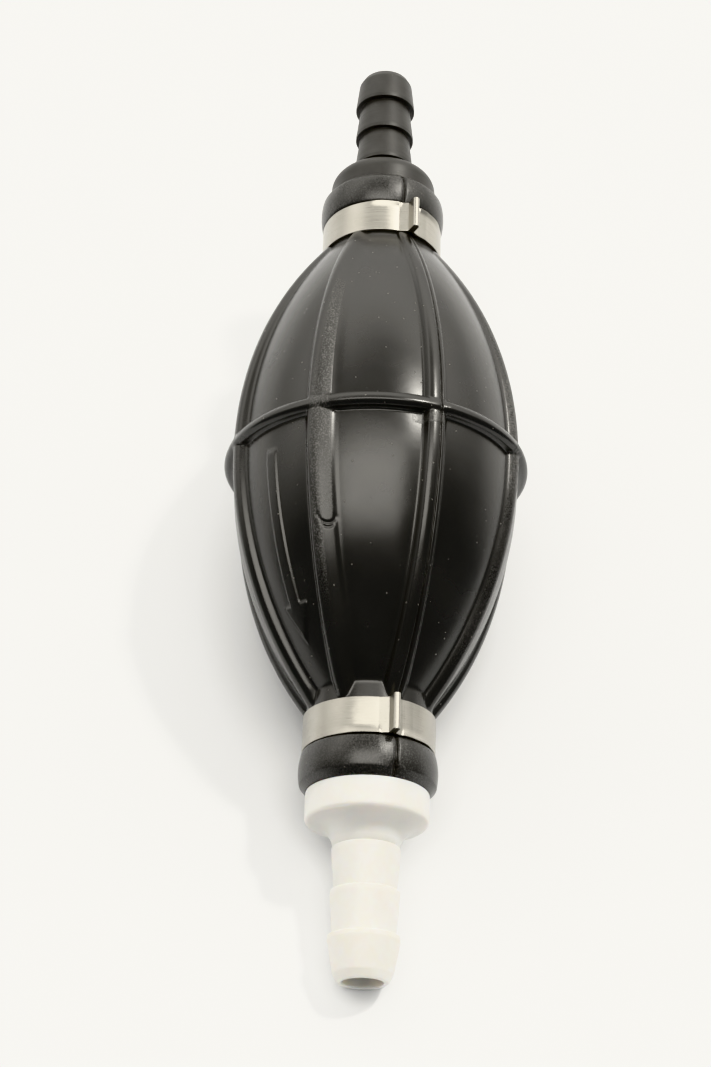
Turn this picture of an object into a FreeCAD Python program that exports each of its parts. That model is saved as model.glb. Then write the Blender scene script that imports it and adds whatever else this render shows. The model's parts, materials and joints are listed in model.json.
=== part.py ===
import FreeCAD, Part
import math
import os

from FreeCAD import Placement, Rotation, Vector

# Priming bulb of a siphon, in millimetres. Every piece is drawn along the bulb's own axis, X, with
# X = 0 at the belt ring and +X towards the outlet. placed() then lays the whole object on the plane
# z = 0, where it rests on its belt ring and on the tip of its outlet.

# Bulb
BELT_R = 27.5               # outside of the belt ring
BELT_SECTION_R = 1.7        # section radius of the belt ring
RIB_HEIGHT = 1.4            # ribs stand this far above the panels
RIB_COUNT = 8
RIB_WIDTH_AT_BELT = 3.6
RIB_WIDTH_AT_NECK = 2.6
PANEL_END = 44.0            # where the panels run into the necks
RIB_END = 46.8              # where the ribs run into the necks
WALL = 2.6
NECK_R = 10.75
NECK_BORE_R = 8.0
LIP_START = 53.4            # the rolled lip lies outboard of the clamp
LIP_END = 60.2
LIP_ROOT_R = 11.25
LIP_WIDEST = 57.4
LIP_R = 11.8
LIP_SHOULDER = (59.4, 11.45)
LIP_FACE_R = 10.5
ARROW_START = 5.0
ARROW_NECK = 31.8
ARROW_TIP = 37.4
ARROW_SHAFT_WIDTH = 2.2
ARROW_HEAD_WIDTH = 5.4
ARROW_HEIGHT = 0.5
ARROW_AZIMUTH = -45.0

# Pressed part of the wall
PRESS_HALF_LENGTH = 26.0
PRESS_HALF_WIDTH = 13.2
PRESS_CORNER_R = 6.0
PRESS_GAP = 0.35            # gap that lets the pressed part slide past the rest of the wall

# Clamps
CLAMP_START = 46.8
CLAMP_WIDTH = 6.4
CLAMP_THICKNESS = 0.6
FIN_HEIGHT = 3.0
FIN_FLANK = 2.2             # the band climbs to the fin over this length on each side
FIN_FLANK_RISE = 0.7
FIN_EDGE = 0.3              # chamfer along the top of the fin
INLET_FIN_AZIMUTH = 27.0
OUTLET_FIN_AZIMUTH = 19.0

# Fittings
BORE_R = 3.4
SPIGOT_R = NECK_BORE_R
SPIGOT_END = 42.0
CHAMBER_R = 6.3
BARB_LAND = 0.8             # cylindrical crest of every barb

INLET_FLANGE_R = 9.7
INLET_FLANGE_END = 66.3
INLET_SHOULDER_START = 64.4
INLET_SHOULDER_MIDDLE = (65.9, 9.0)
INLET_SHOULDER_R = 7.3
INLET_STEM_R = 4.9
INLET_BARB_R = 5.65
INLET_TIP_BARB_R = 5.8
INLET_BARB_CRESTS = (68.2, 75.4, 82.6)
INLET_TIP = 89.8
INLET_TIP_R = 4.5

OUTLET_FLANGE_R = 10.45
OUTLET_FLANGE_END = 64.2
OUTLET_SHOULDER = ((65.0, 10.1), (65.3, 9.4))
OUTLET_CONE = ((66.3, 7.3), (69.6, 5.6))
OUTLET_STEM_R = 5.2
OUTLET_BARB_R = 5.75
OUTLET_TIP_BARB_R = 6.0
OUTLET_BARB_CRESTS = (69.6, 76.9, 84.4)
OUTLET_TIP = 91.9
OUTLET_TIP_R = 4.2
TIP_SHOULDER = 1.5          # length of the chamfer round each tip
TIP_SHOULDER_DROP = 0.75

# Valves. Each one is measured from its own seat, along the way the water flows.
THROAT_R = 3.6              # hole through a seat lip
SEAT_LIP_R = 4.4
SEAT_LIP_HEIGHT = 0.6
SEAL_GAP = 0.05             # modelling gap between a seal and its seat lip
DISC_R = 4.9
DISC_THICKNESS = 1.2
SEAL_THICKNESS = 1.0
SEAL_HOLE_R = 1.6
STEM_R = 1.4
GUIDE_CLEARANCE = 0.05
SPRING_WIRE_R = 0.25

INLET_SEAT = 62.0           # depth of the seat face, outboard of the belt
INLET_BORE_END = 64.0
INLET_STEM_REACH = 16.4
INLET_BUTTON_LENGTH = 0.8
INLET_BUTTON_LAP = 0.6      # the button overhangs the hole in the seal by this much
INLET_SPRING_R = 2.6
INLET_SPRING_TURNS = 5
RETAINER_OUTER = 47.0
RETAINER_INNER = 43.0
RETAINER_RING_R = 5.2
RETAINER_HUB_R = 3.2
RETAINER_HUB_OUTER = 50.0
RETAINER_ARMS = 3
RETAINER_ARM_WIDTH = 1.4

OUTLET_SEAT = 48.0
OUTLET_SEAT_INNER = 43.0
OUTLET_CHAMBER_END = 63.0
OUTLET_SPRING_R = 4.2
OUTLET_SPRING_TURNS = 5
OUTLET_BOSS_R = 3.4
OUTLET_BOSS_HEIGHT = 1.0
TAIL_WINGS = 4
TAIL_WING_WIDTH = 1.0
TAIL_LENGTH = 5.0

PANEL_R = BELT_R - BELT_SECTION_R

# Rest attitude: the belt ring and the corner of the outlet tip both touch z = 0.
CONTACT_X = OUTLET_TIP - TIP_SHOULDER
CONTACT_R = OUTLET_TIP_R + TIP_SHOULDER_DROP
TILT = (math.asin(BELT_SECTION_R / math.hypot(CONTACT_X, PANEL_R - CONTACT_R))
        + math.atan2(PANEL_R - CONTACT_R, CONTACT_X))
AXIS_HEIGHT = PANEL_R * math.cos(TILT) + BELT_SECTION_R
HIGH_X = OUTLET_TIP * math.cos(TILT) + OUTLET_TIP_R * math.sin(TILT)
LOW_X = -INLET_TIP * math.cos(TILT) - INLET_TIP_R * math.sin(TILT)
REST = Placement(Vector(-(HIGH_X + LOW_X) / 2, 0, AXIS_HEIGHT),
                 Rotation(Vector(0, 1, 0), math.degrees(TILT)))

X_AXIS = Vector(1, 0, 0)
ORIGIN = Vector(0, 0, 0)


def arc(start, middle, end):
    points = [Vector(x, 0, r) for x, r in (start, middle, end)]
    return Part.Arc(*points).toShape()


def line(start, end):
    return Part.LineSegment(Vector(start[0], 0, start[1]), Vector(end[0], 0, end[1])).toShape()


def outline_face(outline):
    """Face in the XZ plane inside a closed outline of (x, radius) points.

    A pair of points in the outline is an arc through the first to the second.
    """
    edges = []
    start = outline[0]
    for item in outline[1:] + outline[:1]:
        if isinstance(item[0], tuple):
            edges.append(arc(start, *item))
            start = item[1]
        else:
            edges.append(line(start, item))
            start = item
    return Part.Face(Part.Wire(edges))


def turned(outline):
    """Solid of revolution of an outline about X."""
    return outline_face(outline).revolve(ORIGIN, X_AXIS, 360)


def ring(start, end, inner, outer):
    return turned([(start, inner), (end, inner), (end, outer), (start, outer)])


def rod(start, end, radius):
    return Part.makeCylinder(radius, end - start, Vector(start, 0, 0), X_AXIS)


def mirrored(shape):
    """The same piece at the inlet end."""
    return shape.mirror(ORIGIN, X_AXIS)


def about_axis(shape, degrees):
    """Turned about the bulb's axis; 0 is the top and positive angles go towards +Y."""
    copy = shape.copy()
    copy.rotate(ORIGIN, X_AXIS, -degrees)
    return copy


def placed(shape):
    copy = shape.copy()
    copy.Placement = REST.multiply(copy.Placement)
    return copy


def spindle(belt_r, length, offset, end_r):
    """Solid of revolution with a bowed side.

    The side is an arc of radius belt_r at the belt that meets the neck at length, moved out by offset.
    It ends where its radius has come down to end_r.
    """
    rise = belt_r - NECK_R
    bow = (length ** 2 + rise ** 2) / (2 * rise)
    centre = belt_r - bow
    end = math.sqrt((bow + offset) ** 2 - (end_r - centre) ** 2)
    return turned([(-end, 0), (-end, end_r), ((0, belt_r + offset), (end, end_r)), (end, 0)])


def neck():
    """Outside of a neck and its rolled lip, at the outlet end."""
    root = PANEL_END - WALL
    return turned([
        (root, 0), (root, NECK_R), (LIP_START, NECK_R), (LIP_START, LIP_ROOT_R), (LIP_WIDEST, LIP_R),
        (LIP_SHOULDER, (LIP_END, LIP_FACE_R)), (LIP_END, 0),
    ])


def polygon_face(corners):
    """Face in the XY plane with the given corners."""
    points = [Vector(x, y, 0) for x, y in corners]
    return Part.Face(Part.makePolygon(points + points[:1]))


def rib():
    """One long rib at the top of the bulb, from neck to neck."""
    belt_half = RIB_WIDTH_AT_BELT / 2
    neck_half = RIB_WIDTH_AT_NECK / 2
    plan = polygon_face([(-RIB_END, -neck_half), (0, -belt_half), (RIB_END, -neck_half),
                         (RIB_END, neck_half), (0, belt_half), (-RIB_END, neck_half)])
    prism = plan.extrude(Vector(0, 0, BELT_R))
    return prism.common(spindle(PANEL_R + RIB_HEIGHT, RIB_END, 0, NECK_R))


def arrow():
    """Raised flow arrow, which points to the outlet."""
    shaft = ARROW_SHAFT_WIDTH / 2
    head = ARROW_HEAD_WIDTH / 2
    plan = polygon_face([(ARROW_START, -shaft), (ARROW_NECK, -shaft), (ARROW_NECK, -head),
                         (ARROW_TIP, 0),
                         (ARROW_NECK, head), (ARROW_NECK, shaft), (ARROW_START, shaft)])
    prism = plan.extrude(Vector(0, 0, BELT_R))
    skin = spindle(PANEL_R, PANEL_END, ARROW_HEIGHT, NECK_R)
    return about_axis(prism, ARROW_AZIMUTH).common(skin)


def press_prism(gap):
    """Upright prism that bounds the pressed part of the wall."""
    half_length = PRESS_HALF_LENGTH + gap
    half_width = PRESS_HALF_WIDTH + gap
    block = Part.makeBox(2 * half_length, 2 * half_width, BELT_R,
                         Vector(-half_length, -half_width, NECK_R / 2))
    uprights = [edge for edge in block.Edges
                if abs(edge.Vertexes[0].Z - edge.Vertexes[-1].Z) > NECK_R]
    return block.makeFillet(PRESS_CORNER_R + gap, uprights)


def whole_bulb():
    """Moulded rubber: panels, ribs, belt ring, arrow, necks and lips round one hollow."""
    outside = spindle(PANEL_R, PANEL_END, 0, NECK_R).fuse([neck(), mirrored(neck())])
    step = 360 / RIB_COUNT
    ribs = [about_axis(rib(), step * (index + 0.5)) for index in range(RIB_COUNT)]
    belt = Part.makeTorus(PANEL_R, BELT_SECTION_R, ORIGIN, X_AXIS)
    outside = outside.fuse(ribs + [belt, arrow()])
    hollow = spindle(PANEL_R, PANEL_END, -WALL, NECK_BORE_R)
    bore = rod(-LIP_END - 1, LIP_END + 1, NECK_BORE_R)
    return outside.cut([hollow, bore]).removeSplitter()


def clamp(azimuth):
    """Pinched band: one strip, closed by a folded fin that stands up from it."""
    inner = NECK_R
    outer = NECK_R + CLAMP_THICKNESS
    band = ring(CLAMP_START, CLAMP_START + CLAMP_WIDTH, inner, outer)
    foot = inner - CLAMP_THICKNESS
    flank_z = math.sqrt(outer ** 2 - FIN_FLANK ** 2)
    crook = outer + FIN_FLANK_RISE
    top = outer + FIN_HEIGHT
    half = CLAMP_THICKNESS

    def prism(corners):
        points = [Vector(CLAMP_START, y, z) for y, z in corners]
        face = Part.Face(Part.makePolygon(points + points[:1]))
        return face.extrude(Vector(CLAMP_WIDTH, 0, 0))

    fin = prism([
        (-FIN_FLANK, foot), (-FIN_FLANK, flank_z), (-half, crook),
        (-half, top - FIN_EDGE), (FIN_EDGE - half, top),
        (half - FIN_EDGE, top), (half, top - FIN_EDGE),
        (half, crook), (FIN_FLANK, flank_z), (FIN_FLANK, foot),
    ])
    hollow = prism([(-FIN_FLANK / 2, foot), (0, crook), (FIN_FLANK / 2, foot)])
    core = rod(CLAMP_START, CLAMP_START + CLAMP_WIDTH, inner)
    return about_axis(band.fuse(fin).cut([hollow, core]).removeSplitter(), azimuth)


def barb_outline(crests, crest_r, tip_crest_r, stem_r, tip, tip_r):
    """Outline of a hose tail from its root to its tip: each barb rises in a step and tapers away."""
    points = []
    for index, crest in enumerate(crests):
        last = index == len(crests) - 1
        radius = tip_crest_r if last else crest_r
        points += [(crest, stem_r), (crest, radius), (crest + BARB_LAND, radius)]
    points += [(tip - TIP_SHOULDER, tip_r + TIP_SHOULDER_DROP), (tip, tip_r)]
    return points


def inlet_fitting():
    """Inlet hose tail, flange and spigot, drawn at the outlet end and mirrored."""
    outline = [(SPIGOT_END, CHAMBER_R), (SPIGOT_END, SPIGOT_R), (LIP_END, SPIGOT_R),
               (LIP_END, INLET_FLANGE_R), (INLET_SHOULDER_START, INLET_FLANGE_R),
               (INLET_SHOULDER_MIDDLE, (INLET_FLANGE_END, INLET_SHOULDER_R)),
               (INLET_FLANGE_END, INLET_STEM_R)]
    outline += barb_outline(INLET_BARB_CRESTS, INLET_BARB_R, INLET_TIP_BARB_R,
                            INLET_STEM_R, INLET_TIP, INLET_TIP_R)
    outline += [(INLET_TIP, BORE_R), (INLET_BORE_END, BORE_R), (INLET_BORE_END, THROAT_R),
                (INLET_SEAT - SEAT_LIP_HEIGHT, THROAT_R), (INLET_SEAT - SEAT_LIP_HEIGHT, SEAT_LIP_R),
                (INLET_SEAT, SEAT_LIP_R), (INLET_SEAT, CHAMBER_R)]
    return mirrored(turned(outline))


def outlet_fitting():
    """Outlet hose tail, coned flange and spigot."""
    outline = [(SPIGOT_END, CHAMBER_R), (SPIGOT_END, SPIGOT_R), (LIP_END, SPIGOT_R),
               (LIP_END, OUTLET_FLANGE_R), (OUTLET_FLANGE_END, OUTLET_FLANGE_R),
               OUTLET_SHOULDER, OUTLET_CONE]
    outline += barb_outline(OUTLET_BARB_CRESTS, OUTLET_BARB_R, OUTLET_TIP_BARB_R,
                            OUTLET_STEM_R, OUTLET_TIP, OUTLET_TIP_R)[1:]
    outline += [(OUTLET_TIP, BORE_R), (OUTLET_CHAMBER_END, BORE_R), (OUTLET_CHAMBER_END, CHAMBER_R)]
    return turned(outline)


def seal(seat):
    """Flat rubber ring that closes on the seat lip."""
    face = seat + SEAT_LIP_HEIGHT + SEAL_GAP
    return ring(face, face + SEAL_THICKNESS, SEAL_HOLE_R, DISC_R)


def disc(seat):
    """Poppet disc with the short neck that carries the seal."""
    face = seat + SEAT_LIP_HEIGHT + SEAL_GAP
    neck_part = rod(face, face + SEAL_THICKNESS, SEAL_HOLE_R)
    return rod(face + SEAL_THICKNESS, face + SEAL_THICKNESS + DISC_THICKNESS, DISC_R).fuse(neck_part)


def spring(start, end, radius, turns):
    """Compression spring, ground flat at both ends."""
    pitch = (end - start) / turns
    helix = Part.makeHelix(pitch, end - start, radius)
    section = Part.Wire(Part.makeCircle(SPRING_WIRE_R, Vector(radius, 0, 0), Vector(0, 1, 0)))
    coil = Part.Wire(helix).makePipeShell([section], True, True)
    coil.rotate(ORIGIN, Vector(0, 1, 0), 90)
    coil.translate(Vector(start, 0, 0))
    return coil.common(rod(start, end, radius + 2 * SPRING_WIRE_R))


def inlet_poppet():
    """Disc that lifts towards the bulb, with a button that holds the seal and a stem."""
    seat = -INLET_SEAT
    face = seat + SEAT_LIP_HEIGHT + SEAL_GAP
    tip = face - INLET_BUTTON_LENGTH
    button = turned([(tip, 0), (tip, SEAL_HOLE_R), (face, SEAL_HOLE_R + INLET_BUTTON_LAP), (face, 0)])
    back = face + SEAL_THICKNESS + DISC_THICKNESS
    stem = rod(back, seat + INLET_STEM_REACH, STEM_R)
    return disc(seat).fuse([button, stem]).removeSplitter()


def inlet_retainer():
    """Spider pressed into the spigot; its hub guides the stem and backs the spring."""
    rim = ring(-RETAINER_OUTER, -RETAINER_INNER, RETAINER_RING_R, CHAMBER_R)
    hub = rod(-RETAINER_HUB_OUTER, -RETAINER_INNER, RETAINER_HUB_R)
    reach = (RETAINER_RING_R + CHAMBER_R) / 2
    arm = Part.makeBox(RETAINER_OUTER - RETAINER_INNER, RETAINER_ARM_WIDTH, reach,
                       Vector(-RETAINER_OUTER, -RETAINER_ARM_WIDTH / 2, 0))
    arms = [about_axis(arm, index * 360 / RETAINER_ARMS) for index in range(RETAINER_ARMS)]
    guide = rod(-RETAINER_HUB_OUTER - 1, -RETAINER_INNER + 1, STEM_R + GUIDE_CLEARANCE)
    return rim.fuse([hub] + arms).cut(guide).removeSplitter()


def outlet_seat():
    """Ring pressed into the spigot's bulb end, with the seat lip on its outlet face."""
    return turned([
        (OUTLET_SEAT_INNER, THROAT_R), (OUTLET_SEAT + SEAT_LIP_HEIGHT, THROAT_R),
        (OUTLET_SEAT + SEAT_LIP_HEIGHT, SEAT_LIP_R), (OUTLET_SEAT, SEAT_LIP_R),
        (OUTLET_SEAT, CHAMBER_R), (OUTLET_SEAT_INNER, CHAMBER_R),
    ])


def outlet_poppet():
    """Disc that lifts towards the outlet, with a winged tail that slides in the seat."""
    face = OUTLET_SEAT + SEAT_LIP_HEIGHT + SEAL_GAP
    back = face + SEAL_THICKNESS + DISC_THICKNESS
    boss = rod(back, back + OUTLET_BOSS_HEIGHT, OUTLET_BOSS_R)
    wing = Part.makeBox(TAIL_LENGTH, TAIL_WING_WIDTH, THROAT_R,
                        Vector(face - TAIL_LENGTH, -TAIL_WING_WIDTH / 2, 0))
    wings = [about_axis(wing, index * 360 / TAIL_WINGS) for index in range(TAIL_WINGS)]
    tail = wings[0].fuse(wings[1:]).common(rod(face - TAIL_LENGTH, face, THROAT_R - GUIDE_CLEARANCE))
    return disc(OUTLET_SEAT).fuse([boss, tail]).removeSplitter()


def springs():
    """Both valve springs, each between its poppet and what backs it."""
    lift = SEAT_LIP_HEIGHT + SEAL_GAP + SEAL_THICKNESS + DISC_THICKNESS
    return {
        "inlet_valve_spring": spring(-INLET_SEAT + lift, -RETAINER_HUB_OUTER,
                                     INLET_SPRING_R, INLET_SPRING_TURNS),
        "outlet_valve_spring": spring(OUTLET_SEAT + lift, OUTLET_CHAMBER_END,
                                      OUTLET_SPRING_R, OUTLET_SPRING_TURNS),
    }


def nodes():
    bulb = whole_bulb()
    pieces = {
        "bulb": bulb.cut(press_prism(PRESS_GAP)),
        "bulb_squeeze_panel": bulb.common(press_prism(0)),
        "inlet_clamp": mirrored(clamp(INLET_FIN_AZIMUTH)),
        "outlet_clamp": clamp(OUTLET_FIN_AZIMUTH),
        "inlet_fitting": inlet_fitting(),
        "outlet_fitting": outlet_fitting(),
        "inlet_valve_poppet": inlet_poppet(),
        "inlet_valve_seal": seal(-INLET_SEAT),
        "inlet_valve_retainer": inlet_retainer(),
        "outlet_valve_seat": outlet_seat(),
        "outlet_valve_poppet": outlet_poppet(),
        "outlet_valve_seal": seal(OUTLET_SEAT),
    }
    pieces.update(springs())
    return pieces


os.makedirs("parts", exist_ok=True)
for name, shape in nodes().items():
    solid = placed(shape)
    print(f"{name}: {len(solid.Solids)} solid, {solid.Volume / 1000:.3f} cm3, valid {solid.isValid()}")
    solid.exportStep(f"parts/{name}.step")
print(f"tilt {math.degrees(TILT):.4f} deg, axis height {AXIS_HEIGHT:.4f}, x shift {REST.Base.x:.4f}")
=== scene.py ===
import json
import math

import bpy
import numpy as np
from mathutils import Matrix, Vector


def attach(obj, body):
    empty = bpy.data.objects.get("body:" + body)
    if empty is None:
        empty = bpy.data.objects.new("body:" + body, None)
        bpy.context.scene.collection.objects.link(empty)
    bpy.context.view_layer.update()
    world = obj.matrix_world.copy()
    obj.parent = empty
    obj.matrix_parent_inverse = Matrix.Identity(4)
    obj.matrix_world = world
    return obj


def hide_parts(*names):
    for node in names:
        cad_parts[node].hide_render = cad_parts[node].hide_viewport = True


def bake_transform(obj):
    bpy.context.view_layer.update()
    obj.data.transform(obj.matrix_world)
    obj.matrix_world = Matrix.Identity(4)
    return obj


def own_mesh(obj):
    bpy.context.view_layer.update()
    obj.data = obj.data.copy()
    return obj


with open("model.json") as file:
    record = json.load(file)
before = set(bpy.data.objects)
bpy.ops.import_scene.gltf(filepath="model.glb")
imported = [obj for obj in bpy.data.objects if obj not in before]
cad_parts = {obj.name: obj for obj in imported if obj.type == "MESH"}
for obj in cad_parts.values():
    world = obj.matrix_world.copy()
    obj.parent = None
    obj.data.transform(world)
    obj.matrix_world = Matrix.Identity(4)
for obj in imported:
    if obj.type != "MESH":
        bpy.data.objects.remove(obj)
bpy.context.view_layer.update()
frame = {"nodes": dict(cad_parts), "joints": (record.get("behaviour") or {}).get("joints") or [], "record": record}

# A siphon's priming bulb lying on a white table. Shapes are drawn in millimetres along the bulb's own
# axis: x = 0 at the belt ring and +x towards the outlet, azimuth 0 on top and positive towards +Y.
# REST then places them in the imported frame, which is in metres.

MM = 0.001

# Bulb: eight bowed panels between eight ribs, with a belt ring round the middle
PANEL_R = 25.61
PANEL_END = 44.0
INLET_PANEL_END = 45.4
PANEL_FILLET = 0.3          # where a panel runs into the neck
INLET_PANEL_FILLET = 1.3
RIB_R = 27.2
RIB_HEIGHT = 1.58
RIB_END = 46.8
RIB_COUNT = 8
RIB_HALF_AT_BELT = 1.75
RIB_HALF_AT_NECK = 1.6
BELT_HEIGHT = 1.83
BELT_MIDDLE = -0.25
BELT_INLET_SIDE = 2.0       # half widths of the belt ring
BELT_OUTLET_SIDE = 1.15
SETTLED = 0.8               # the soft body lies this much nearer the inlet between its clamps
NECK_R = 10.75
NECK_BORE_R = 8.0
WALL = 2.6
LIP_START = 53.3
LIP_RIDGE = 58.8            # beyond the ridge the lip turns in to the flange
LIP_FACE = 60.1
ARROW_AZIMUTH = math.radians(-45)
ARROW = ((5.0, 1.1), (31.8, 1.1), (31.8, 2.7), (37.4, 0.0))    # half of its outline, (x, half width)
ARROW_HEIGHT = 0.42

# Ribs are counted from azimuth 22.5 degrees. Across a rib, q is in half widths from its middle
GRAINY_RIB = 7
PIP_RIB = 1
PARTING_RIBS = (0, 4)
ARROW_PANEL = 6
PARTING = 0.33              # the mould's parting line, beside the middle of its rib
SEAM = PARTING + np.array([-0.19, -0.13, -0.08, -0.04, 0, 0.04, 0.08, 0.13, 0.19])
FLANK = np.array([0.76, 0.84, 0.9, 0.945, 0.985, 1.02, 1.055, 1.09, 1.13, 1.18, 1.26, 1.4, 1.6])
COARSE = np.concatenate([[0, 0.2, 0.38, 0.53, 0.66], FLANK])
FINE = np.concatenate([np.arange(0, 0.72, 0.1), FLANK])
BETWEEN_RIBS = 99.0         # the q of columns on a panel

# Clamps
CLAMP_START = 46.8
CLAMP_WIDTH = 6.4
CLAMP_HALF_THICKNESS = 0.3
CLAMP_EDGE_R = 0.12
FIN_TOP = 14.3
FIN_FOOT = 2.1              # the strip leaves the neck this far beside the fin's middle
FIN_WAIST = 11.75           # height where the strip turns up into the fin
INLET_FIN_AZIMUTH = math.radians(27)
OUTLET_FIN_AZIMUTH = math.radians(19)

# Fittings
BORE_R = 3.4
CHAMBER_R = 6.3
SPIGOT_END = 42.0
SPIGOT_R = 8.0
FLANGE_START = 60.2
OUTLET_LAND = 84.8          # the stated mount on the outlet's tip barb

# Valve springs: (end on the poppet, backed end, coil radius)
SPRING_WIRE_R = 0.25
SPRING_TURNS = 5
INLET_SPRING = (-59.13, -50.02, 2.6)
OUTLET_SPRING = (50.87, 62.98, 4.2)

# Studio: the wall's brightness is given from its foot to its top
LIGHT_COLOUR = (1.0, 0.965, 0.885)
ROOM_COLOUR = (0.96, 0.985, 1.0)
WALL_FOOT = 1.3
WALL_LOW = 0.85
WALL_HIGH = 1.9
WALL_TOP = 0.5
ROOM_STRENGTH = 0.27
SOFT_BOX_STRENGTH = 4.6
SOFT_BOX_X = (-0.11, 0.37)  # its sides, at unit height over the table
SOFT_BOX_Y = (-0.54, 0.4)
BACKDROP_COLOUR = (1.0, 0.98, 0.93)
BACKDROP_STRENGTH = 1.35
KEY_DIRECTION = Vector((-0.31, 0.46, 0.82))
KEY_STRENGTH = 1.45
KEY_ANGLE = math.radians(5)
TABLE_X = (-0.4, 0.2)
TABLE_Y = (-0.2, 0.105)

# Camera
CAMERA_PLACE = Vector((0.244483, 0.0, 0.297653))
CAMERA_AIM = Vector((0.01224, -0.00332, 0.02685))
CAMERA_ROLL = math.radians(0.867)
CAMERA_LENS = 45.41         # in millimetres, on a picture 24 mm high


def local_frame():
    """Matrix from the drawing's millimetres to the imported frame."""
    mounts = {mount["name"]: mount for mount in frame["record"]["mounts"]}
    joints = {joint["name"]: joint for joint in frame["joints"]}
    along = Vector(mounts["outlet_hose_tail"]["axis"])
    up = -Vector(joints["squeeze"]["axis"])
    across = up.cross(along)
    origin = Vector(mounts["outlet_hose_tail"]["pos_m"]) - along * OUTLET_LAND * MM
    matrix = Matrix((along * MM, across * MM, up * MM)).transposed().to_4x4()
    matrix.translation = origin
    return matrix


REST = local_frame()


# ---------------------------------------------------------------- number helpers

def smoothstep(x, low, high):
    """0 below low and 1 above high, with a smooth change between."""
    t = np.clip((x - low) / (high - low), 0, 1)
    return t * t * (3 - 2 * t)


def window(x, low, high, soft):
    """1 between low and high, falling to 0 over the soft distance outside them."""
    return smoothstep(x, low - soft, low) * (1 - smoothstep(x, high, high + soft))


def smooth_max(a, b, width):
    """The larger of two heights, with a fillet where they cross."""
    width = np.maximum(width, 1e-6)
    h = np.clip(0.5 + 0.5 * (a - b) / width, 0, 1)
    return b + (a - b) * h + width * h * (1 - h)


def ripple(seed, *coordinates):
    """Gentle unevenness between about -1 and 1: a few sine waves of different lengths."""
    rng = np.random.default_rng(seed)
    total = 0.0
    for _ in range(5):
        weights = rng.normal(size=len(coordinates))
        phase = rng.uniform(0, 2 * math.pi)
        total = total + np.sin(sum(w * c for w, c in zip(weights, coordinates)) + phase)
    return total / 3


# ---------------------------------------------------------------- meshes

def around(x, radius, azimuth):
    """Points at a distance from the bulb's axis."""
    x, radius, azimuth = np.broadcast_arrays(x, radius, azimuth)
    return np.stack([x, radius * np.sin(azimuth), radius * np.cos(azimuth)], -1)


def add_object(name, data):
    piece = bpy.data.objects.new(name, data)
    bpy.context.scene.collection.objects.link(piece)
    return piece


def grid_mesh(name, points, u, v, attributes=None):
    """Closed quad mesh from a grid of points that wraps in both directions.

    u and v are the grid's lengths in millimetres, one more of each than there are columns and rows.
    """
    rows, columns = points.shape[:2]
    index = np.arange(rows * columns).reshape(rows, columns)
    right = np.roll(index, -1, 1)
    below = np.roll(index, -1, 0)
    corner = np.roll(below, -1, 1)
    faces = np.stack([index, right, corner, below], -1).reshape(-1, 4)
    matrix = np.array(REST)
    placed = points.reshape(-1, 3) @ matrix[:3, :3].T + matrix[:3, 3]
    mesh = bpy.data.meshes.new(name)
    mesh.from_pydata(placed.tolist(), [], faces.tolist())
    mesh.polygons.foreach_set("use_smooth", np.ones(len(faces), bool))
    row, column = np.divmod(np.arange(rows * columns), columns)
    sides = [(column, row), (column + 1, row), (column + 1, row + 1), (column, row + 1)]
    loops = np.stack([np.stack([u[c], v[r]], -1) for c, r in sides], 1)
    layer = mesh.uv_layers.new(name="lengths")
    layer.data.foreach_set("uv", loops.astype(np.float32).ravel())
    for key, values in (attributes or {}).items():
        layer = mesh.attributes.new(key, "FLOAT", "POINT")
        layer.data.foreach_set("value", values.astype(np.float32).ravel())
    mesh.update()
    outward = sum(face.center.dot(face.normal) * face.area for face in mesh.polygons)
    if outward < 0:
        mesh.flip_normals()
    return add_object(name, mesh)


def lengths(points, closed=False):
    """Distance along a line of points; a closed line's last value is its whole length."""
    line = np.concatenate([points, points[:1]]) if closed else points
    steps = np.linalg.norm(np.diff(line, axis=0), axis=1)
    return np.concatenate([[0], np.cumsum(steps)])


def rounded(outline, closed=True, steps=6, guard=0.15):
    """Outline of (x, radius, corner radius) points, with each corner turned into an arc.

    A guard point on each side of an arc keeps the flat faces beside it flat in the shading.
    """
    result = []
    count = len(outline)
    for i, (x, r, corner) in enumerate(outline):
        here = np.array((x, r), float)
        if corner == 0 or not closed and i in (0, count - 1):
            result.append(here)
            continue
        before = np.array(outline[i - 1][:2]) - here
        after = np.array(outline[(i + 1) % count][:2]) - here
        room = min(np.linalg.norm(before), np.linalg.norm(after))
        before = before / np.linalg.norm(before)
        after = after / np.linalg.norm(after)
        half = math.acos(np.clip(before @ after, -1, 1)) / 2
        reach = min(corner / math.tan(half), 0.45 * room)
        keep = min(guard, 0.04 * room)
        start = here + before * reach
        end = here + after * reach
        result.append(start + before * keep)
        for t in np.linspace(0, 1, steps + 1):
            result.append((1 - t) ** 2 * start + 2 * t * (1 - t) * here + t ** 2 * end)
        result.append(end + after * keep)
    return np.array(result)


def arc_points(start, middle, end, count):
    """Points on the circle through three, without the first and the last, as outline corners."""
    (ax, ay), (bx, by), (cx, cy) = start, middle, end
    d = 2 * (ax * (by - cy) + bx * (cy - ay) + cx * (ay - by))
    a2, b2, c2 = ax * ax + ay * ay, bx * bx + by * by, cx * cx + cy * cy
    ux = (a2 * (by - cy) + b2 * (cy - ay) + c2 * (ay - by)) / d
    uy = (a2 * (cx - bx) + b2 * (ax - cx) + c2 * (bx - ax)) / d
    first = math.atan2(ay - uy, ax - ux)
    last = math.atan2(cy - uy, cx - ux)
    radius = math.hypot(ax - ux, ay - uy)
    turn = (last - first + math.pi) % (2 * math.pi) - math.pi
    angles = [first + turn * k / count for k in range(1, count)]
    return [(ux + radius * math.cos(a), uy + radius * math.sin(a), 0) for a in angles]


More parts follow.
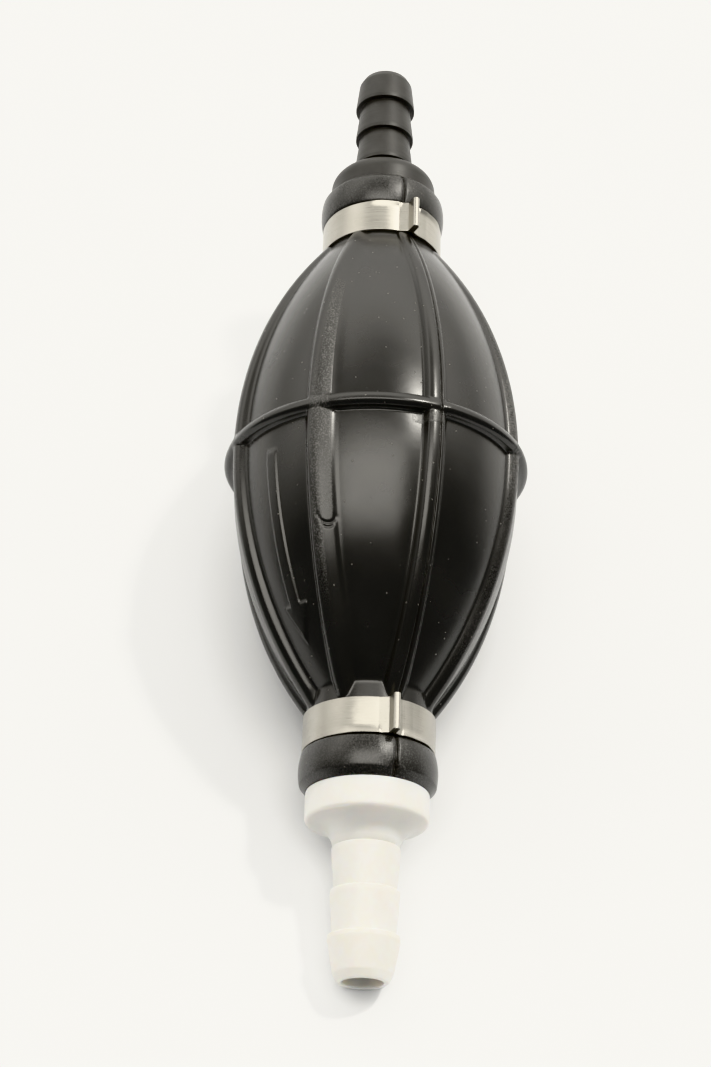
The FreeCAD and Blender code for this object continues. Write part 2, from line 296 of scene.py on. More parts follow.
def divided(path, longest, closed=True):
    """The same path with no side longer than given."""
    result = []
    ends = np.roll(path, -1, 0) if closed else path[1:]
    for start, end in zip(path, ends):
        pieces = max(1, math.ceil(np.linalg.norm(end - start) / longest))
        result += [start + (end - start) * k / pieces for k in range(pieces)]
    if not closed:
        result.append(path[-1])
    return np.array(result)


def lathe(name, outline, columns=160, longest=0.8):
    """Turned piece from a closed outline."""
    path = divided(rounded(outline), longest)
    angle = np.arange(columns) / columns * 2 * math.pi + math.pi
    points = around(path[:, :1], path[:, 1:], angle[None, :])
    u = np.arange(columns + 1) / columns * 2 * math.pi * path[:, 1].max()
    return grid_mesh(name, points, u, lengths(path, closed=True))


def carry(piece, node):
    """The piece stands for a fixed CAD node."""
    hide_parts(node)
    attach(piece, "bulb_and_fittings")


# ---------------------------------------------------------------- the bulb

def bow_radius(x, belt_r, end):
    """Radius of a bowed side that has belt_r at the belt and meets the neck at end."""
    rise = belt_r - NECK_R
    bow = (end ** 2 + rise ** 2) / (2 * rise)
    return belt_r - bow + np.sqrt(np.maximum(bow ** 2 - x ** 2, 0))


def skin_rows(panel_end, fillet):
    """(x, radius) rows of half of the bulb's outside from the belt outwards, without ribs."""
    x = np.concatenate([
        np.arange(0, 3, 0.15), np.arange(3, 18.6, 0.36), np.arange(18.6, 22.2, 0.18),
        np.arange(22.2, 38.4, 0.36), np.arange(38.4, 43, 0.5), np.arange(43, 47.6, 0.25),
        np.arange(47.6, 52.8, 0.8),
    ])
    radius = smooth_max(bow_radius(x, PANEL_R, panel_end), NECK_R, fillet)
    barrel = ((LIP_START + 0.3, 11.42), (56.2, 11.82), (LIP_RIDGE - 0.1, 11.62))
    lip = rounded([
        (52.9, NECK_R, 0), (LIP_START, NECK_R, 0.1), (LIP_START + 0.1, 11.3, 0.1), (*barrel[0], 0),
        *arc_points(*barrel, 12), (*barrel[2], 0), (LIP_RIDGE + 0.1, 11.55, 0.15),
        (LIP_FACE, 10.5, 0.2), (LIP_FACE, NECK_BORE_R, 0),
    ], closed=False)
    return np.concatenate([np.stack([x, radius], -1), divided(lip, 0.4, closed=False)])


def settled(x):
    """Place along the axis once the body has moved towards the inlet."""
    fading = 0.6 * smoothstep(x, 5, 44) + 0.4 * smoothstep(x, 44, 50)
    return x - SETTLED * smoothstep(x, -53, -47) * (1 - fading)


def bulb_rows():
    """All rows of the bulb: its outside from the inlet to the outlet, then its inside and back."""
    outlet_half = skin_rows(PANEL_END, PANEL_FILLET)
    inlet_half = skin_rows(INLET_PANEL_END, INLET_PANEL_FILLET)
    outside = np.concatenate([inlet_half[:0:-1] * (-1, 1), outlet_half])
    x = np.array([59, 56, 52, 48, 45, 43, 41.5, 40, 38, 35, 32, 28, 24, 20, 16, 12, 8, 4, 0.0])
    radius = np.maximum(bow_radius(x, PANEL_R, PANEL_END) - WALL, NECK_BORE_R)
    inside = np.stack([x, radius], -1)
    inside = np.concatenate([inside, inside[-2::-1] * (-1, 1)])
    return outside, inside


def rib_offsets(rib):
    """Columns across one rib."""
    side = FINE if rib in (GRAINY_RIB, PIP_RIB) else COARSE
    offsets = np.concatenate([-side[:0:-1], side])
    if rib == GRAINY_RIB:
        offsets = np.concatenate([offsets, [1.75, 1.9]])
    if rib in PARTING_RIBS:
        clear = np.abs(offsets - PARTING) > 0.22
        offsets = np.sort(np.concatenate([offsets[clear], SEAM]))
    return offsets


def rib_half_width(x, rib):
    """Half the width of a rib, which narrows towards the necks."""
    out = np.clip(np.abs(x) / RIB_END, 0, 1)
    width = RIB_HALF_AT_BELT + (RIB_HALF_AT_NECK - RIB_HALF_AT_BELT) * out
    return width * np.where(rib == GRAINY_RIB, 1.2 - 0.15 * out, 1)


def rib_drop(x, q, rib):
    """Height lost beside the middle of a rib: a rounded crown, then a steep flank.

    The grainy rib slopes away to the top panel in a facet, and the next one leans towards it.
    """
    grainy = rib == GRAINY_RIB
    sharp = grainy | np.isin(rib, PARTING_RIBS)
    reach = np.where(grainy, np.maximum(-q, 0), np.abs(q))
    n = np.where(sharp, 3.0, 2.0)
    knee = np.where(sharp, 0.86, 0.9)
    crown = 1 - (1 - np.minimum(reach, knee) ** n) ** (1 / n)
    drop = RIB_HEIGHT * crown + np.where(sharp, 3.4, 3.6) * np.maximum(reach - knee, 0)
    facet = 1.05 * smooth_max(q - 0.1, 0, 0.35) * (1 + 1.5 * smoothstep(x, 36, 44))
    facet = facet + 1.2 * smoothstep(x, -1, 1) * np.maximum(q - 1.05, 0) ** 2
    lean = 0.44 * np.maximum(0.8 - q, 0)
    return drop + np.where(grainy, facet, 0) + np.where(rib == PIP_RIB, lean, 0)


def bulb_columns(x, radius):
    """Azimuth of every column at every row, and each column's rib and offset across it."""
    sector = 2 * math.pi / RIB_COUNT
    azimuth, rib_of, offset = [], [], []

    def rib_angle(rib, q):
        drift = 0.0
        if rib % RIB_COUNT in PARTING_RIBS:
            drift = -smoothstep(x, RIB_END, 53) * math.radians(1.5) - smoothstep(-x, RIB_END, 53) * 0.085
        return (rib + 0.5) * sector + drift + np.arcsin(q * rib_half_width(x, rib % RIB_COUNT) / radius)

    for rib in range(RIB_COUNT):
        offsets = rib_offsets(rib)
        for q in offsets:
            azimuth.append(rib_angle(rib, q))
            rib_of.append(rib)
            offset.append(q)
        count = 60 if rib == ARROW_PANEL else 10
        start = azimuth[-1]
        end = rib_angle(rib + 1, rib_offsets((rib + 1) % RIB_COUNT)[0])
        for k in range(1, count):
            azimuth.append(start + (end - start) * k / count)
            rib_of.append(rib)
            offset.append(BETWEEN_RIBS)
    return np.concatenate(azimuth, 1), np.array(rib_of)[None, :], np.array(offset)[None, :]


def outline_distance(x, y, corners):
    """Distance from points to a closed outline, positive inside it."""
    nearest = np.full(np.broadcast(x, y).shape, 1e9)
    inside = np.zeros(nearest.shape, bool)
    for (x0, y0), (x1, y1) in zip(corners, corners[1:] + corners[:1]):
        dx, dy = x1 - x0, y1 - y0
        t = np.clip(((x - x0) * dx + (y - y0) * dy) / (dx * dx + dy * dy), 0, 1)
        nearest = np.minimum(nearest, np.hypot(x - x0 - t * dx, y - y0 - t * dy))
        if dy != 0:
            crossing = (y0 > y) != (y1 > y)
            inside ^= crossing & (x < x0 + (y - y0) * dx / dy)
    return np.where(inside, nearest, -nearest)


def arc_groove(x, y, centre, radius, half_width, reach):
    """1 in a groove that follows the outlet side of a circle, 0 away from it."""
    dx, dy = x - centre[0], y - centre[1]
    line = np.exp(-((np.hypot(dx, dy) - radius) / half_width) ** 2)
    return line * smoothstep(np.arctan2(dx, np.abs(dy)), reach - 0.3, reach + 0.3)


def bulb_skin(x, base, azimuth, rib, q):
    """Radius of the bulb's outside, and its grain."""
    on_rib = q != BETWEEN_RIBS
    width = rib_half_width(x, rib)
    side = q * width                                    # distance beside the rib's middle

    # ribs
    height = np.maximum(bow_radius(x, RIB_R, RIB_END) - base, 0)
    fillet = np.where(np.isin(rib, PARTING_RIBS), 0.35, np.where(rib == GRAINY_RIB, 0.45, 0.9))
    ribs = smooth_max(height - rib_drop(x, q, rib), 0, fillet * np.clip(height / 0.6, 0, 1)) * on_rib

    # belt ring
    reach = np.abs(x)
    beside = x - BELT_MIDDLE
    half = np.where(beside < 0, BELT_INLET_SIDE, BELT_OUTLET_SIDE)
    section = np.sqrt(np.maximum(1 - (beside / half) ** 2, 0)) * BELT_HEIGHT
    belt = section - 3 * np.maximum(np.abs(beside) - half, 0) + 0.02 * ripple(5, azimuth * 9, x)
    relief = smooth_max(ribs, belt, 0.4)

    # flow arrow
    corners = list(ARROW) + [(a, -b) for a, b in ARROW[-2::-1]]
    beside = base * np.sin(azimuth - ARROW_AZIMUTH)
    arrow = np.where(np.cos(azimuth - ARROW_AZIMUTH) > 0.8, outline_distance(x, beside, corners), -1.0)
    relief = relief + ARROW_HEIGHT * smoothstep(arrow, -0.2, 0.22) * smoothstep(x, 4.8, 6.2)

    # parting line: a fine groove with its far side a little lower, deeper over the lips
    parting = np.isin(rib, PARTING_RIBS) & on_rib
    lips = smoothstep(reach, LIP_START - 0.6, LIP_START + 0.4)
    notch = lips * np.exp(-((reach - LIP_RIDGE) / 0.8) ** 2)
    groove = np.exp(-((side - PARTING * width) / (0.19 + 0.04 * lips + 0.25 * notch)) ** 2)
    groove = groove * (0.46 + 0.03 * ripple(9, x * 2) + 0.04 * lips + 0.6 * notch)
    groove = groove + 0.1 * np.exp(-((side - (PARTING + 0.3) * width) / 0.13) ** 2) * (1 - lips)
    step = 0.09 * smoothstep(q, PARTING - 0.03, PARTING + 0.1) * (1 - smoothstep(q, 0.8, 1.3))
    relief = relief - np.where(parting, groove + step * (1 - lips), 0)

    # a flow mark on one rib, where the upper layer of rubber ends in a bow, and a pip on another
    marked = (rib == GRAINY_RIB) & on_rib
    mark = arc_groove(x, side, (19.7, 1.15), 1.25, 0.17, -0.2)
    mark = mark + 0.6 * arc_groove(x, side, (20.6, 1.15), 1.05, 0.16, 0.3)
    seam = np.exp(-((side + 1.25 - 0.07 * (x - 8)) / 0.17) ** 2) * window(x, 8, 19.5, 3)
    relief = relief - np.where(marked, 0.26 * mark + 0.07 * seam, 0)
    pip = np.exp(-((np.hypot(x - 2.9, side - 0.45) - 0.7) / 0.14) ** 2)
    relief = relief + np.where((rib == PIP_RIB) & on_rib, 0.12 * pip, 0)

    # where the surface is grainy
    grain = marked * window(q, 0.1, 0.95, 0.1) * window(x, -18, -1, 14)
    grain = grain + marked * window(q, -0.5, 0.15, 0.12) * window(x, 2, 22, 14)
    grain = grain + marked * 0.4 * window(q, 0.2, 1.1, 0.12) * window(x, 2, 16, 4)
    pitted = window(x, -12, 5, 5) + 0.35 * window(x, -24, 34, 8)
    grain = grain + ((rib == PIP_RIB) & on_rib) * window(q, -0.7, 0.7, 0.15) * pitted
    grain = grain + lips * (0.38 + 0.3 * window(azimuth, 0.1, 0.35, 0.5))
    corner = window(azimuth, 0.05, 0.36, 0.12) * window(x, 1.3, 2.6, 0.5)
    return base + relief, np.clip(grain + 0.7 * corner, 0, 1)


def make_bulb():
    outside, inside = bulb_rows()
    x, base = outside[:, :1], outside[:, 1:]
    azimuth, rib, q = bulb_columns(x, base)
    radius, grain = bulb_skin(x, base, azimuth, rib, q)
    inner_x, inner_r = inside[:, :1], inside[:, 1:]
    inner_azimuth = bulb_columns(inner_x, inner_r)[0]
    points = np.concatenate([around(x, radius, azimuth), around(inner_x, inner_r, inner_azimuth)])
    points[..., 0] = settled(points[..., 0])
    grain = np.concatenate([grain, np.zeros_like(inner_azimuth)])
    u = np.linspace(0, 2 * math.pi * PANEL_R, points.shape[1] + 1)
    v = lengths(np.concatenate([outside, inside]), closed=True)
    bulb = grid_mesh("squeeze_bulb", points, u, v, {"grain": grain})
    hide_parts("bulb", "bulb_squeeze_panel")
    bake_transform(bulb)
    return bulb


# ---------------------------------------------------------------- clamps

def clamp_path():
    """Centreline of the clamp's strip: once round the neck, and up and down again in a folded fin.

    Points are (across, up), with the fin on top.
    """
    ring = NECK_R + CLAMP_HALF_THICKNESS
    foot_height = math.sqrt(ring ** 2 - FIN_FOOT ** 2)
    start = math.asin(FIN_FOOT / ring)
    angle = np.linspace(start + 0.03, 2 * math.pi - start - 0.03, 150)
    band = np.stack([ring * np.sin(angle), ring * np.cos(angle)], -1)
    layer = CLAMP_HALF_THICKNESS + 0.01
    high = FIN_TOP - CLAMP_HALF_THICKNESS
    fin = rounded([
        (*band[-1], 0), (-FIN_FOOT, foot_height, 1.2),
        (-layer, FIN_WAIST, 0.5), (-layer, high, layer), (layer, high, layer), (layer, FIN_WAIST, 0.5),
        (FIN_FOOT, foot_height, 1.2), (*band[0], 0),
    ], closed=False, guard=0.1)
    return np.concatenate([band, divided(fin, 0.35, closed=False)[1:-1]])


def make_clamp(name, node, fin_azimuth, end):
    """Pinched strip at one end of the bulb: end is -1 at the inlet and 1 at the outlet."""
    path = clamp_path()
    ahead = np.roll(path, -1, 0) - np.roll(path, 1, 0)
    ahead = ahead / np.linalg.norm(ahead, axis=1, keepdims=True)
    normal = np.stack([-ahead[:, 1], ahead[:, 0]], -1)
    edge = CLAMP_HALF_THICKNESS
    corners = [(0, -edge), (CLAMP_WIDTH, -edge), (CLAMP_WIDTH, edge), (0, edge)]
    section = divided(rounded([(*corner, CLAMP_EDGE_R) for corner in corners], steps=4, guard=0.1), 0.5)
    width, out = section[:, :1], section[:, 1:]

    angle = np.arctan2(path[:, 0], path[:, 1])[None, :]
    ring = NECK_R + edge
    on_band = window(np.hypot(path[:, 0], path[:, 1])[None, :], ring - 0.5, ring + 0.03, 0.12)
    # the outboard edge stands off the rubber on top, where the fin pulls the strip
    flare = 0.3 * smoothstep(width, CLAMP_WIDTH - 1.0, CLAMP_WIDTH) * window(angle, -0.5, 0.6, 0.3)
    flare = flare + 0.03 * ripple(11 + end, angle * 5, width / 2)
    # the strip's end shows as a fine step beside the fin
    overlap = 0.1 * (1 - smoothstep(angle, 0.37, 0.385)) * (angle > 0) * (out > 0)
    offset = out * 0.98 + flare * on_band + overlap * on_band
    offset = np.where(offset - out > 0.45, out + 0.45, offset)
    across = path[:, 0] + normal[:, 0] * offset
    up = path[:, 1] + normal[:, 1] * offset
    y = across * math.cos(fin_azimuth) + up * math.sin(fin_azimuth)
    z = up * math.cos(fin_azimuth) - across * math.sin(fin_azimuth)
    x = end * (CLAMP_START + np.broadcast_to(width, y.shape))
    points = np.stack([x, y, z], -1)
    clamp = grid_mesh(name, points, lengths(path, closed=True), lengths(section, closed=True))
    carry(clamp, node)
    return clamp


# ---------------------------------------------------------------- hose fittings

def barbs(crests, crest_r, tip_crest_r, stem_r, tip, tip_r, edge):
    """Outside of a hose tail: each barb rises in a step and tapers away to the next."""
    outline = []
    for crest in crests:
        last = crest == crests[-1]
        radius = tip_crest_r if last else crest_r
        outline += [(crest, stem_r, 0.15), (crest, radius, edge), (crest + 0.8, radius, 0.5)]
    return outline + [(tip - 1.4, tip_r + 0.75, 1.2), (tip, tip_r, 0.5)]


def make_inlet_fitting():
    shoulder = ((62.9, 10.05), (65.0, 9.15), (65.9, 7.3))
    outline = [
        (SPIGOT_END, CHAMBER_R, 0.2), (SPIGOT_END, SPIGOT_R, 0.3),
        (FLANGE_START, SPIGOT_R, 0), (FLANGE_START, 10.05, 0.15),
        (62.7, 10.05, 0), (*shoulder[0], 0),
    ]
    outline += arc_points(*shoulder, 12) + [(*shoulder[2], 0), (66.0, 6.6, 0), (66.0, 4.9, 0.25)]
    outline += barbs((68.2, 75.4, 82.6), 5.65, 5.8, 4.9, 89.8, 4.5, 0.14)
    outline += [
        (89.8, BORE_R, 0.25), (64.0, BORE_R, 0), (64.0, 3.6, 0), (61.4, 3.6, 0.1),
        (61.4, 4.4, 0.1), (62.0, 4.4, 0), (62.0, CHAMBER_R, 0.1),
    ]
    fitting = lathe("inlet_hose_tail", [(-x, r, corner) for x, r, corner in outline])
    carry(fitting, "inlet_fitting")
    return fitting


def make_outlet_fitting():
    cone = ((65.6, 9.0), (66.5, 7.2), (69.4, 5.65))
    outline = [
        (SPIGOT_END, CHAMBER_R, 0.2), (SPIGOT_END, SPIGOT_R, 0.3),
        (FLANGE_START, SPIGOT_R, 0), (FLANGE_START, 10.45, 0.15),
        (65.2, 10.45, 2.2), (*cone[0], 0),
    ]
    outline += arc_points(*cone, 12)
    outline += barbs((69.6, 76.9, 84.4), 5.75, 6.0, 5.25, 91.9, 4.2, 0.2)
    outline += [(91.9, BORE_R, 0.3), (63.0, BORE_R, 0.15), (63.0, CHAMBER_R, 0.15)]
    fitting = lathe("outlet_hose_tail", outline)
    carry(fitting, "outlet_fitting")
    return fitting


# ---------------------------------------------------------------- valve springs

def make_spring(name, node, spring):
    """Compression spring with a closed turn at each end."""
    start, end, radius = spring
    closed = 0.9
    rise = 2 * SPRING_WIRE_R * closed
    first, last = start + SPRING_WIRE_R, end - SPRING_WIRE_R
    turn = np.linspace(0, SPRING_TURNS, SPRING_TURNS * 40 + 1)
    x = np.interp(turn, [0, closed, SPRING_TURNS - closed, SPRING_TURNS],
                  [first, first + rise, last - rise, last])
    curve = bpy.data.curves.new(name, "CURVE")
    curve.dimensions = "3D"
    curve.bevel_depth = SPRING_WIRE_R * MM
    curve.bevel_resolution = 4
    curve.use_fill_caps = True
    line = curve.splines.new("POLY")
    line.points.add(len(turn) - 1)
    for point, place in zip(line.points, around(x, radius, turn * 2 * math.pi)):
        point.co = (*(REST @ Vector(place)), 1)
    wire = add_object(name + "_wire", curve)
    mesh = bpy.data.meshes.new_from_object(wire.evaluated_get(bpy.context.evaluated_depsgraph_get()))
    bpy.data.objects.remove(wire)
    mesh.polygons.foreach_set("use_smooth", np.ones(len(mesh.polygons), bool))
    coil = add_object(name, mesh)
    carry(coil, node)
    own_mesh(coil)
    return coil


# ---------------------------------------------------------------- materials

class Nodes:
    """A node tree that is built up from nothing."""

    def __init__(self, owner):
        owner.use_nodes = True
        self.tree = owner.node_tree
        self.tree.nodes.clear()

    def add(self, kind, **settings):
        node = self.tree.nodes.new(kind)
        for key, value in settings.items():
            setattr(node, key, value)
        return node

    def feed(self, node, key, value):
        """Links an output to an input, or sets the input's own value."""
        socket = node.inputs[key]
        if isinstance(value, bpy.types.NodeSocket):
            self.tree.links.new(value, socket)
        elif socket.type == "RGBA" and len(value) == 3:
            socket.default_value = (*value, 1)
        else:
            socket.default_value = value

    def math(self, operation, a, b=0.0):
        node = self.add("ShaderNodeMath", operation=operation)
        self.feed(node, 0, a)
        self.feed(node, 1, b)
        return node.outputs[0]

    def ramp(self, value, low, high, to_low=0.0, to_high=1.0):
        """Smooth change from to_low to to_high as value goes from low to high."""
        node = self.add("ShaderNodeMapRange", interpolation_type="SMOOTHSTEP")
        for key, number in zip(("Value", "From Min", "From Max", "To Min", "To Max"),
                               (value, low, high, to_low, to_high)):
            self.feed(node, key, number)
        return node.outputs["Result"]


class Finish(Nodes):
    """A procedural material. Its textures are laid out in millimetres."""

    def __init__(self, name, **sockets):
        self.material = bpy.data.materials.new(name)
        super().__init__(self.material)
        self.shader = self.add("ShaderNodeBsdfPrincipled")
        output = self.add("ShaderNodeOutputMaterial")
        self.feed(output, "Surface", self.shader.outputs["BSDF"])
        self.place = self.add("ShaderNodeTexCoord").outputs["Object"]
        for key, value in sockets.items():
            self.feed(self.shader, key.replace("_", " "), value)

    def set(self, key, value):
        self.feed(self.shader, key, value)

    def attribute(self, name):
        return self.add("ShaderNodeAttribute", attribute_name=name).outputs["Fac"]

    def lengths(self):
        """Distances along and across the piece's own grid."""
        return self.add("ShaderNodeUVMap", uv_map="lengths").outputs["UV"]

    def scaled(self, vector, scale):
        node = self.add("ShaderNodeMapping")
        self.feed(node, "Vector", vector)
        node.inputs["Scale"].default_value = scale
        return node.outputs["Vector"]

    def millimetres(self):
        return self.scaled(self.place, (1 / MM, 1 / MM, 1 / MM))

    def noise(self, size, detail=2.0, vector=None, roughness=0.5):
        """Noise with features about as large as size, in millimetres."""
        node = self.add("ShaderNodeTexNoise")
        self.feed(node, "Vector", vector or self.millimetres())
        self.feed(node, "Scale", 1 / size)
        self.feed(node, "Detail", detail)
        self.feed(node, "Roughness", roughness)
        return node.outputs["Fac"]

    def cells(self, size, output="Distance"):
        """Distance from the middle of irregular cells, or a colour for each cell."""
        node = self.add("ShaderNodeTexVoronoi")
        self.feed(node, "Vector", self.millimetres())
        self.feed(node, "Scale", 1 / size)
        self.feed(node, "Randomness", 1.0)
        return node.outputs[output]

    def specks(self, size, chosen):
        """Ragged dots in the cells whose colour is over a limit."""
        ragged = self.math("ADD", self.cells(size), self.ramp(self.noise(0.3, 2), 0.3, 0.7, -0.05, 0.05))
        some = self.ramp(self.cells(size, "Color"), *chosen)
        return self.math("MULTIPLY", self.ramp(ragged, 0.05, 0.09, 1, 0), some)

    def mix(self, factor, a, b):
        """Colour between a and b."""
        node = self.add("ShaderNodeMix", data_type="RGBA")
        for index, value in ((0, factor), (6, a), (7, b)):
            self.feed(node, index, value)
        return node.outputs[2]

    def relief(self, *layers):
        """Bump from (height from 0 to 1, millimetres) layers."""
        normal = None
        for height, depth in layers:
            node = self.add("ShaderNodeBump")
            self.feed(node, "Height", height)
            self.feed(node, "Strength", 1.0)
            self.feed(node, "Distance", depth * MM)
            if normal:
                self.feed(node, "Normal", normal)
            normal = node.outputs["Normal"]
        self.set("Normal", normal)


def rubber_finish():
    finish = Finish("moulded_black_rubber", IOR=1.58)
    grain = finish.attribute("grain")
    cloud = finish.noise(9, 3)
    fine = finish.noise(0.28, 3, roughness=0.65)
    dust = finish.specks(1.6, (0.52, 0.54))
    base = finish.mix(finish.ramp(cloud, 0.35, 0.75), (0.0140, 0.0136, 0.0130), (0.0175, 0.0170, 0.0163))
    grey = finish.math("MULTIPLY", grain, finish.ramp(fine, 0.45, 0.66))
    base = finish.mix(grey, base, (0.11, 0.108, 0.104))
    finish.set("Base Color", finish.mix(finish.math("MULTIPLY", dust, 0.55), base, (0.25, 0.24, 0.22)))
    rough = finish.ramp(cloud, 0.3, 0.7, 0.22, 0.28)
    matt = finish.math("MULTIPLY", grain, finish.ramp(fine, 0.3, 0.7, 0.04, 0.2))
    rough = finish.math("ADD", rough, matt)
    finish.set("Roughness", finish.math("ADD", rough, finish.math("MULTIPLY", dust, 0.4)))
    finish.relief((finish.noise(2.6, 2), 0.012), (finish.noise(0.5, 2), 0.0025),
                  (finish.math("MULTIPLY", fine, grain), 0.05), (dust, 0.04))
    return finish.material


def steel_finish():
    """Strip steel: streaks along the strip, a few scuffs across it."""
    finish = Finish("rolled_steel_strip", Metallic=1.0)
    place = finish.lengths()
    streaks = finish.noise(1, 4, finish.scaled(place, (0.09, 11.0, 1)), roughness=0.7)
    scuffs = finish.noise(1, 3, finish.scaled(place, (4.0, 0.12, 1)), roughness=0.6)
    cloud = finish.noise(4, 2)
    tone = finish.ramp(finish.math("ADD", streaks, finish.math("MULTIPLY", cloud, 0.5)), 0.5, 1.0)
    base = finish.mix(tone, (0.38, 0.365, 0.33), (0.43, 0.416, 0.381))
    finish.set("Base Color", finish.mix(finish.ramp(scuffs, 0.6, 0.8, 0, 0.35), base, (0.6, 0.585, 0.55)))
    finish.set("Roughness", finish.ramp(streaks, 0.3, 0.7, 0.26, 0.38))
    finish.relief((streaks, 0.006), (scuffs, 0.006), (finish.noise(3, 1), 0.03))
    return finish.material


def black_plastic_finish():
    finish = Finish("moulded_black_plastic", IOR=1.5)
    place = finish.lengths()
    turning = finish.noise(1, 3, finish.scaled(place, (0.06, 5.0, 1)), roughness=0.6)
    cloud = finish.noise(3.5, 3)
    base = finish.mix(finish.ramp(cloud, 0.3, 0.7), (0.026, 0.0252, 0.024), (0.036, 0.035, 0.033))
    dust = finish.ramp(finish.cells(1.7), 0.05, 0.09, 1, 0)
    dust = finish.math("MULTIPLY", dust, finish.ramp(finish.cells(1.7, "Color"), 0.6, 0.65))
    finish.set("Base Color", finish.mix(finish.math("MULTIPLY", dust, 0.3), base, (0.2, 0.19, 0.18)))
    finish.set("Roughness", finish.ramp(turning, 0.3, 0.7, 0.38, 0.5))
    finish.relief((turning, 0.006), (finish.noise(0.25, 2), 0.006), (finish.noise(5, 1), 0.03))
    return finish.material


def natural_plastic_finish(name, light, dark, glow):
    """Unpigmented engineering plastic: milky, with light passing a little way into it."""
    finish = Finish(name, IOR=1.48, Subsurface_Weight=glow, Subsurface_Scale=0.003,
                    Subsurface_Radius=(1.0, 0.72, 0.42))
    cloud = finish.noise(6, 3)
    finish.set("Base Color", finish.mix(finish.ramp(cloud, 0.3, 0.7), light, dark))
    finish.set("Roughness", finish.ramp(finish.noise(1.6, 2), 0.3, 0.7, 0.32, 0.42))
    turning = finish.noise(1.1, 2, finish.scaled(finish.place, (1400, 350, 350)))
    finish.relief((finish.noise(4, 1), 0.03), (turning, 0.006))
    return finish.material


def seal_finish():
    finish = Finish("soft_seal_rubber", IOR=1.5)
    fine = finish.noise(0.3, 3)
    base = finish.mix(finish.ramp(fine, 0.3, 0.7), (0.02, 0.02, 0.02), (0.032, 0.031, 0.03))
    finish.set("Base Color", base)
    finish.set("Roughness", finish.ramp(finish.noise(1.5, 2), 0.3, 0.7, 0.5, 0.65))
    finish.relief((fine, 0.01))
    return finish.material


def spring_finish():
    finish = Finish("drawn_spring_wire", Metallic=1.0)
    fine = finish.noise(0.12, 3)
    base = finish.mix(finish.ramp(fine, 0.35, 0.7), (0.50, 0.49, 0.47), (0.66, 0.65, 0.63))
    finish.set("Base Color", base)
    finish.set("Roughness", finish.ramp(fine, 0.3, 0.7, 0.2, 0.36))
    finish.relief((fine, 0.004))
    return finish.material


def paint(piece, material):
    piece.data.materials.clear()
    piece.data.materials.append(material)


# ---------------------------------------------------------------- stage, light and camera

def make_table():
    (left, right), (near, far) = TABLE_X, TABLE_Y
    mesh = bpy.data.meshes.new("table_top")
    mesh.from_pydata([(left, near, 0), (right, near, 0), (right, far, 0), (left, far, 0)], [], [(0, 1, 2, 3)])
    table = add_object("table_top", mesh)
    finish = Finish("white_table_top", IOR=1.4)
    cloud = finish.noise(60, 4)
    base = finish.mix(finish.ramp(cloud, 0.3, 0.7), (0.85, 0.86, 0.88), (0.87, 0.88, 0.90))
    finish.set("Base Color", base)
    finish.set("Roughness", finish.ramp(cloud, 0.3, 0.7, 0.55, 0.62))
    paint(table, finish.material)


def make_surroundings():
    """A pale studio: a bright wall on the inlet side, a large soft box overhead, a dim room around.

    The camera itself sees a plain backdrop.
    """
    world = bpy.data.worlds.new("studio")
    bpy.context.scene.world = world
    nodes = Nodes(world)

    def glow(colour, strength):
        node = nodes.add("ShaderNodeBackground")
        nodes.feed(node, "Color", colour)
        nodes.feed(node, "Strength", strength)
        return node.outputs[0]

    direction = nodes.add("ShaderNodeSeparateXYZ")
    nodes.feed(direction, 0, nodes.add("ShaderNodeTexCoord").outputs["Generated"])
    x, y, z = direction.outputs

    wall = nodes.ramp(z, 0.12, 0.62, WALL_LOW, WALL_HIGH)
    wall = nodes.math("ADD", wall, nodes.ramp(z, 0.68, 0.86, 0.0, WALL_TOP - WALL_HIGH))
    wall = nodes.math("ADD", wall, nodes.ramp(z, -0.02, 0.12, WALL_FOOT - WALL_LOW, 0.0))
    turned = nodes.math("ADD", x, nodes.math("MULTIPLY", y, 0.09))
    turned = nodes.math("ADD", turned, nodes.math("MULTIPLY", nodes.math("ABSOLUTE", y), 0.1))
    wall = nodes.math("MULTIPLY", wall, nodes.ramp(turned, -0.34, 0.16, 1.0, 0.0))

    box = 1.0
    for side, (low, high) in ((x, SOFT_BOX_X), (y, SOFT_BOX_Y)):
        along = nodes.math("DIVIDE", side, nodes.math("MAXIMUM", z, 0.05))
        inside = nodes.math("MULTIPLY", nodes.ramp(along, low - 0.03, low + 0.03),
                            nodes.ramp(along, high - 0.03, high + 0.03, 1.0, 0.0))
        box = nodes.math("MULTIPLY", box, inside)
    sky = nodes.math("ADD", wall, nodes.math("MULTIPLY", box, SOFT_BOX_STRENGTH))

    both = nodes.add("ShaderNodeAddShader")
    nodes.feed(both, 0, glow(LIGHT_COLOUR, sky))
    nodes.feed(both, 1, glow(ROOM_COLOUR, ROOM_STRENGTH))
    choice = nodes.add("ShaderNodeMixShader")
    nodes.feed(choice, 0, nodes.add("ShaderNodeLightPath").outputs["Is Camera Ray"])
    nodes.feed(choice, 1, both.outputs[0])
    nodes.feed(choice, 2, glow(BACKDROP_COLOUR, BACKDROP_STRENGTH))
    nodes.feed(nodes.add("ShaderNodeOutputWorld"), "Surface", choice.outputs[0])


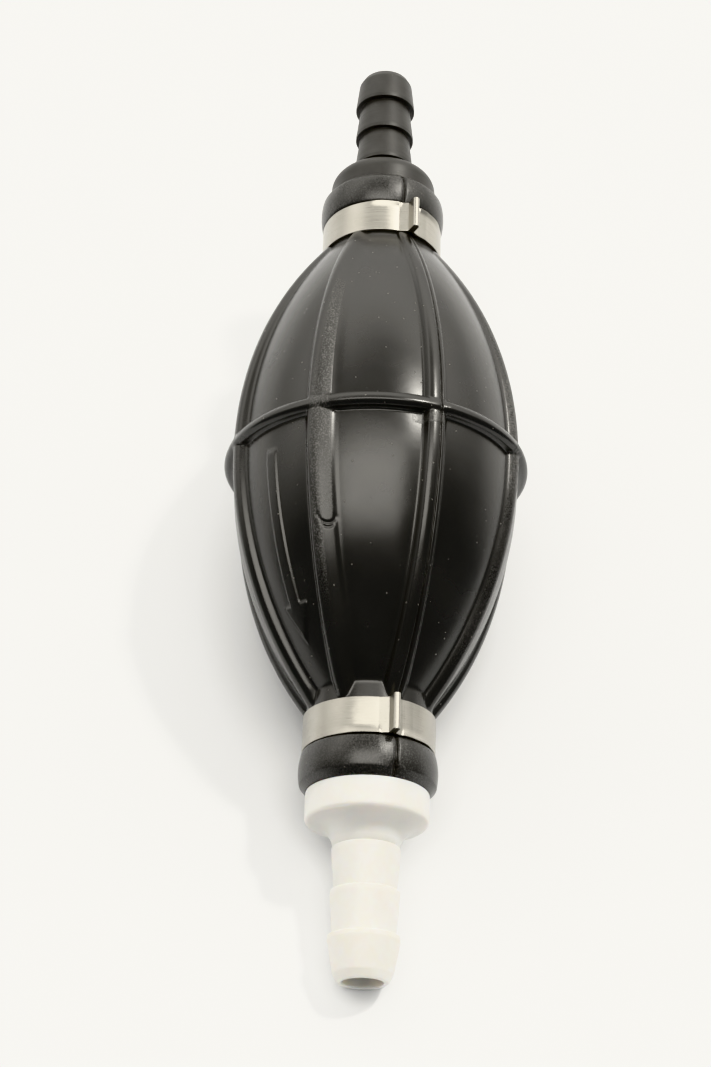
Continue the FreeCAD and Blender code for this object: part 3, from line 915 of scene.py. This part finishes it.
def make_key():
    light = bpy.data.lights.new("key", "SUN")
    light.energy = KEY_STRENGTH
    light.angle = KEY_ANGLE
    light.color = LIGHT_COLOUR
    lamp = add_object("key", light)
    lamp.rotation_mode = "QUATERNION"
    lamp.rotation_quaternion = KEY_DIRECTION.to_track_quat("Z", "Y")


def make_camera():
    back = (CAMERA_PLACE - CAMERA_AIM).normalized()
    level = Vector((0, 0, 1)).cross(back).normalized()
    right = level * math.cos(CAMERA_ROLL) + back.cross(level) * math.sin(CAMERA_ROLL)
    up = back.cross(right)
    camera = bpy.data.cameras.new("camera")
    camera.sensor_fit = "VERTICAL"
    camera.sensor_height = 24.0
    camera.lens = CAMERA_LENS
    camera.clip_start = 0.01
    camera.clip_end = 100.0
    seat = add_object("camera", camera)
    seat.matrix_world = Matrix((right, up, back)).transposed().to_4x4()
    seat.location = CAMERA_PLACE
    bpy.context.scene.camera = seat


# ---------------------------------------------------------------- the scene

paint(make_bulb(), rubber_finish())
steel = steel_finish()
paint(make_clamp("inlet_pinch_clamp", "inlet_clamp", INLET_FIN_AZIMUTH, -1), steel)
paint(make_clamp("outlet_pinch_clamp", "outlet_clamp", OUTLET_FIN_AZIMUTH, 1), steel)
paint(make_inlet_fitting(), black_plastic_finish())
paint(make_outlet_fitting(), natural_plastic_finish(
    "milky_white_plastic", (0.77, 0.757, 0.732), (0.73, 0.718, 0.69), 0.5))

acetal = natural_plastic_finish("natural_acetal", (0.80, 0.78, 0.71), (0.74, 0.72, 0.65), 0.25)
for node_name in ("inlet_valve_poppet", "inlet_valve_retainer", "outlet_valve_seat", "outlet_valve_poppet"):
    paint(frame["nodes"][node_name], acetal)
seal = seal_finish()
for node_name in ("inlet_valve_seal", "outlet_valve_seal"):
    paint(frame["nodes"][node_name], seal)
wire = spring_finish()
paint(make_spring("inlet_coil_spring", "inlet_valve_spring", INLET_SPRING), wire)
paint(make_spring("outlet_coil_spring", "outlet_valve_spring", OUTLET_SPRING), wire)

make_table()
make_surroundings()
make_key()
make_camera()
bpy.context.scene.view_settings.view_transform = "Khronos PBR Neutral"
